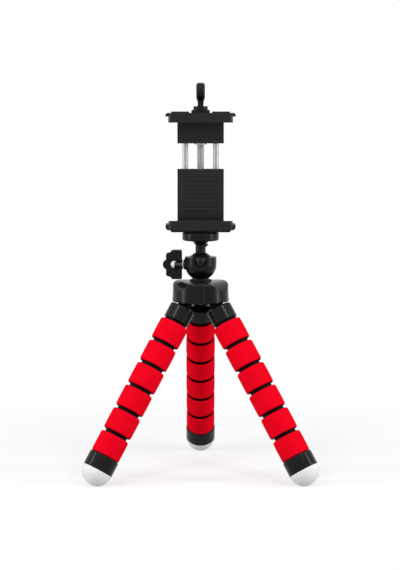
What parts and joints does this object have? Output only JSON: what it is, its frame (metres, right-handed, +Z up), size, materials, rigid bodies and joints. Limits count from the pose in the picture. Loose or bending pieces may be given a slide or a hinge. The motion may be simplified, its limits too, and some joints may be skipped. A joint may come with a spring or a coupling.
{
  "type": "flexible leg tripod",
  "caption": "Table tripod with bendable foam-sleeved legs, a three-shouldered hub, a ball head with a thumb lock and a screw-driven holder with an upper and a lower jaw.",
  "frame": {"origin": "on the plane the three feet stand on, under the hub's axis", "axes": "+Z up along the hub's axis, -Y towards the front where the holder's lips are, +X to the right seen from the front; one leg points along +Y"},
  "size_m": [0.161, 0.1422, 0.2719],
  "materials": {
    "head_plastic": "satin black",
    "holder_plastic": "fine-grained black",
    "leg_plastic": "satin black",
    "foam": "smooth-skinned closed-cell foam",
    "jacket": "matt black",
    "wire": "drawn",
    "foot_rubber": "satin white",
    "pad_rubber": "matt black",
    "nylon": "satin black",
    "steel": "bright plated",
    "brass": "turned"
  },
  "bodies": {
    "hub": {"hub_shell": "head_plastic", "hub_plate": "head_plastic", "plate_screws": "steel"},
    "cup": {"ball_cup": "head_plastic", "neck_washer": "nylon", "swivel_screw": "steel"},
    "lock_slider": {"lock_pad": "nylon"},
    "lock_turner": {"lock_knob": "head_plastic", "lock_screw": "steel", "lock_washer": "steel"},
    "ball": {"ball_stem": "head_plastic", "platform": "head_plastic", "platform_pad": "pad_rubber", "camera_stud": "steel"},
    "holder": {"lower_jaw": "holder_plastic", "lower_pad": "pad_rubber", "base_insert": "brass", "drive_nut": "brass", "back_cover": "holder_plastic", "cover_screws": "steel"},
    "jaw": {"upper_jaw": "holder_plastic", "upper_pad": "pad_rubber", "guide_rods": "steel"},
    "jaw_turner": {"lead_screw": "steel", "clamp_knob": "holder_plastic", "knob_washer": "nylon", "screw_clip": "steel"},
    "leg_1_top": {"collar_1": "leg_plastic", "jacket_1": "jacket", "wire_1": "wire"},
    "leg_1_part_1": {"sleeve_1_1": "foam"},
    "leg_1_part_2": {"sleeve_1_2": "foam"},
    "leg_1_part_3": {"sleeve_1_3": "foam"},
    "leg_1_part_4": {"sleeve_1_4": "foam"},
    "leg_1_part_5": {"sleeve_1_5": "foam"},
    "leg_1_end": {"sleeve_1_6": "foam", "ferrule_1": "leg_plastic", "foot_1": "foot_rubber"},
    "leg_2_top": {"collar_2": "leg_plastic", "jacket_2": "jacket", "wire_2": "wire"},
    "leg_2_part_1": {"sleeve_2_1": "foam"},
    "leg_2_part_2": {"sleeve_2_2": "foam"},
    "leg_2_part_3": {"sleeve_2_3": "foam"},
    "leg_2_part_4": {"sleeve_2_4": "foam"},
    "leg_2_part_5": {"sleeve_2_5": "foam"},
    "leg_2_end": {"sleeve_2_6": "foam", "ferrule_2": "leg_plastic", "foot_2": "foot_rubber"},
    "leg_3_top": {"collar_3": "leg_plastic", "jacket_3": "jacket", "wire_3": "wire"},
    "leg_3_part_1": {"sleeve_3_1": "foam"},
    "leg_3_part_2": {"sleeve_3_2": "foam"},
    "leg_3_part_3": {"sleeve_3_3": "foam"},
    "leg_3_part_4": {"sleeve_3_4": "foam"},
    "leg_3_part_5": {"sleeve_3_5": "foam"},
    "leg_3_end": {"sleeve_3_6": "foam", "ferrule_3": "leg_plastic", "foot_3": "foot_rubber"}
  },
  "joints": [
    {"name": "head_pan", "type": "hinge", "parent": "hub", "child": "cup", "pos_m": [0, 0, 0.14692], "axis": [0, 0, 1], "continuous": true},
    {"name": "head_tilt", "type": "hinge", "parent": "cup", "child": "ball", "pos_m": [0, 0, 0.14692], "axis": [1, 0, 0], "range_deg": [-27, 72]},
    {"name": "lock_slide", "type": "slide", "parent": "cup", "child": "lock_slider", "axis": [-1, 0, 0], "range_m": [0, 0.0006]},
    {"name": "lock_turn", "type": "hinge", "parent": "lock_slider", "child": "lock_turner", "pos_m": [0, 0, 0.14692], "axis": [-1, 0, 0], "range_deg": [0, 361]},
    {"name": "holder_pan", "type": "hinge", "parent": "ball", "child": "holder", "pos_m": [0, 0, 0.16967], "axis": [0, 0, 1], "continuous": true},
    {"name": "jaw_slide", "type": "slide", "parent": "holder", "child": "jaw", "axis": [0, 0, 1], "range_m": [-0.016, 0.012]},
    {"name": "jaw_turn", "type": "hinge", "parent": "jaw", "child": "jaw_turner", "pos_m": [0, 0.0055, 0.24787], "axis": [0, 0, 1], "range_deg": [-7201, 5401]},
    {"name": "leg_1_fold", "type": "hinge", "parent": "hub", "child": "leg_1_top", "pos_m": [0, 0.01277, 0.11928], "axis": [-1, 0, 0], "range_deg": [-5, 28], "deforming": ["jacket_1", "wire_1"]},
    {"name": "leg_1_swing", "type": "hinge", "parent": "leg_1_top", "child": "leg_1_part_1", "pos_m": [0, 0.02016, 0.10745], "axis": [0, 0.848, 0.5299], "range_deg": [-10, 10], "deforming": ["jacket_1", "wire_1"]},
    {"name": "leg_1_bend_1", "type": "hinge", "parent": "leg_1_part_1", "child": "leg_1_part_2", "pos_m": [0, 0.02928, 0.09286], "axis": [1, 0, 0], "range_deg": [-13, 13], "deforming": ["jacket_1", "wire_1"]},
    {"name": "leg_1_bend_2", "type": "hinge", "parent": "leg_1_part_2", "child": "leg_1_part_3", "pos_m": [0, 0.03855, 0.07802], "axis": [1, 0, 0], "range_deg": [-13, 13], "deforming": ["jacket_1", "wire_1"]},
    {"name": "leg_1_bend_3", "type": "hinge", "parent": "leg_1_part_3", "child": "leg_1_part_4", "pos_m": [0, 0.04783, 0.06318], "axis": [1, 0, 0], "range_deg": [-13, 13], "deforming": ["jacket_1", "wire_1"]},
    {"name": "leg_1_bend_4", "type": "hinge", "parent": "leg_1_part_4", "child": "leg_1_part_5", "pos_m": [0, 0.0571, 0.04834], "axis": [1, 0, 0], "range_deg": [-13, 13], "deforming": ["jacket_1", "wire_1"]},
    {"name": "leg_1_bend_5", "type": "hinge", "parent": "leg_1_part_5", "child": "leg_1_end", "pos_m": [0, 0.06637, 0.0335], "axis": [1, 0, 0], "range_deg": [-13, 13], "deforming": ["jacket_1", "wire_1"]},
    {"name": "leg_2_fold", "type": "hinge", "parent": "hub", "child": "leg_2_top", "pos_m": [-0.01106, -0.00639, 0.11928], "axis": [0.5, -0.866, 0], "range_deg": [-5, 28], "deforming": ["jacket_2", "wire_2"]},
    {"name": "leg_2_swing", "type": "hinge", "parent": "leg_2_top", "child": "leg_2_part_1", "pos_m": [-0.01746, -0.01008, 0.10745], "axis": [-0.7344, -0.424, 0.5299], "range_deg": [-10, 10], "deforming": ["jacket_2", "wire_2"]},
    {"name": "leg_2_bend_1", "type": "hinge", "parent": "leg_2_part_1", "child": "leg_2_part_2", "pos_m": [-0.02536, -0.01464, 0.09286], "axis": [-0.5, 0.866, 0], "range_deg": [-13, 13], "deforming": ["jacket_2", "wire_2"]},
    {"name": "leg_2_bend_2", "type": "hinge", "parent": "leg_2_part_2", "child": "leg_2_part_3", "pos_m": [-0.03339, -0.01928, 0.07802], "axis": [-0.5, 0.866, 0], "range_deg": [-13, 13], "deforming": ["jacket_2", "wire_2"]},
    {"name": "leg_2_bend_3", "type": "hinge", "parent": "leg_2_part_3", "child": "leg_2_part_4", "pos_m": [-0.04142, -0.02391, 0.06318], "axis": [-0.5, 0.866, 0], "range_deg": [-13, 13], "deforming": ["jacket_2", "wire_2"]},
    {"name": "leg_2_bend_4", "type": "hinge", "parent": "leg_2_part_4", "child": "leg_2_part_5", "pos_m": [-0.04945, -0.02855, 0.04834], "axis": [-0.5, 0.866, 0], "range_deg": [-13, 13], "deforming": ["jacket_2", "wire_2"]},
    {"name": "leg_2_bend_5", "type": "hinge", "parent": "leg_2_part_5", "child": "leg_2_end", "pos_m": [-0.05748, -0.03319, 0.0335], "axis": [-0.5, 0.866, 0], "range_deg": [-13, 13], "deforming": ["jacket_2", "wire_2"]},
    {"name": "leg_3_fold", "type": "hinge", "parent": "hub", "child": "leg_3_top", "pos_m": [0.01106, -0.00639, 0.11928], "axis": [0.5, 0.866, 0], "range_deg": [-5, 28], "deforming": ["jacket_3", "wire_3"]},
    {"name": "leg_3_swing", "type": "hinge", "parent": "leg_3_top", "child": "leg_3_part_1", "pos_m": [0.01746, -0.01008, 0.10745], "axis": [0.7344, -0.424, 0.5299], "range_deg": [-10, 10], "deforming": ["jacket_3", "wire_3"]},
    {"name": "leg_3_bend_1", "type": "hinge", "parent": "leg_3_part_1", "child": "leg_3_part_2", "pos_m": [0.02536, -0.01464, 0.09286], "axis": [-0.5, -0.866, 0], "range_deg": [-13, 13], "deforming": ["jacket_3", "wire_3"]},
    {"name": "leg_3_bend_2", "type": "hinge", "parent": "leg_3_part_2", "child": "leg_3_part_3", "pos_m": [0.03339, -0.01928, 0.07802], "axis": [-0.5, -0.866, 0], "range_deg": [-13, 13], "deforming": ["jacket_3", "wire_3"]},
    {"name": "leg_3_bend_3", "type": "hinge", "parent": "leg_3_part_3", "child": "leg_3_part_4", "pos_m": [0.04142, -0.02391, 0.06318], "axis": [-0.5, -0.866, 0], "range_deg": [-13, 13], "deforming": ["jacket_3", "wire_3"]},
    {"name": "leg_3_bend_4", "type": "hinge", "parent": "leg_3_part_4", "child": "leg_3_part_5", "pos_m": [0.04945, -0.02855, 0.04834], "axis": [-0.5, -0.866, 0], "range_deg": [-13, 13], "deforming": ["jacket_3", "wire_3"]},
    {"name": "leg_3_bend_5", "type": "hinge", "parent": "leg_3_part_5", "child": "leg_3_end", "pos_m": [0.05748, -0.03319, 0.0335], "axis": [-0.5, -0.866, 0], "range_deg": [-13, 13], "deforming": ["jacket_3", "wire_3"]}
  ],
  "couplings": [
    {"joint": "lock_turn", "follows": "lock_slide", "rad_per_m": 10472},
    {"joint": "jaw_turn", "follows": "jaw_slide", "rad_per_m": 7854}
  ]
}
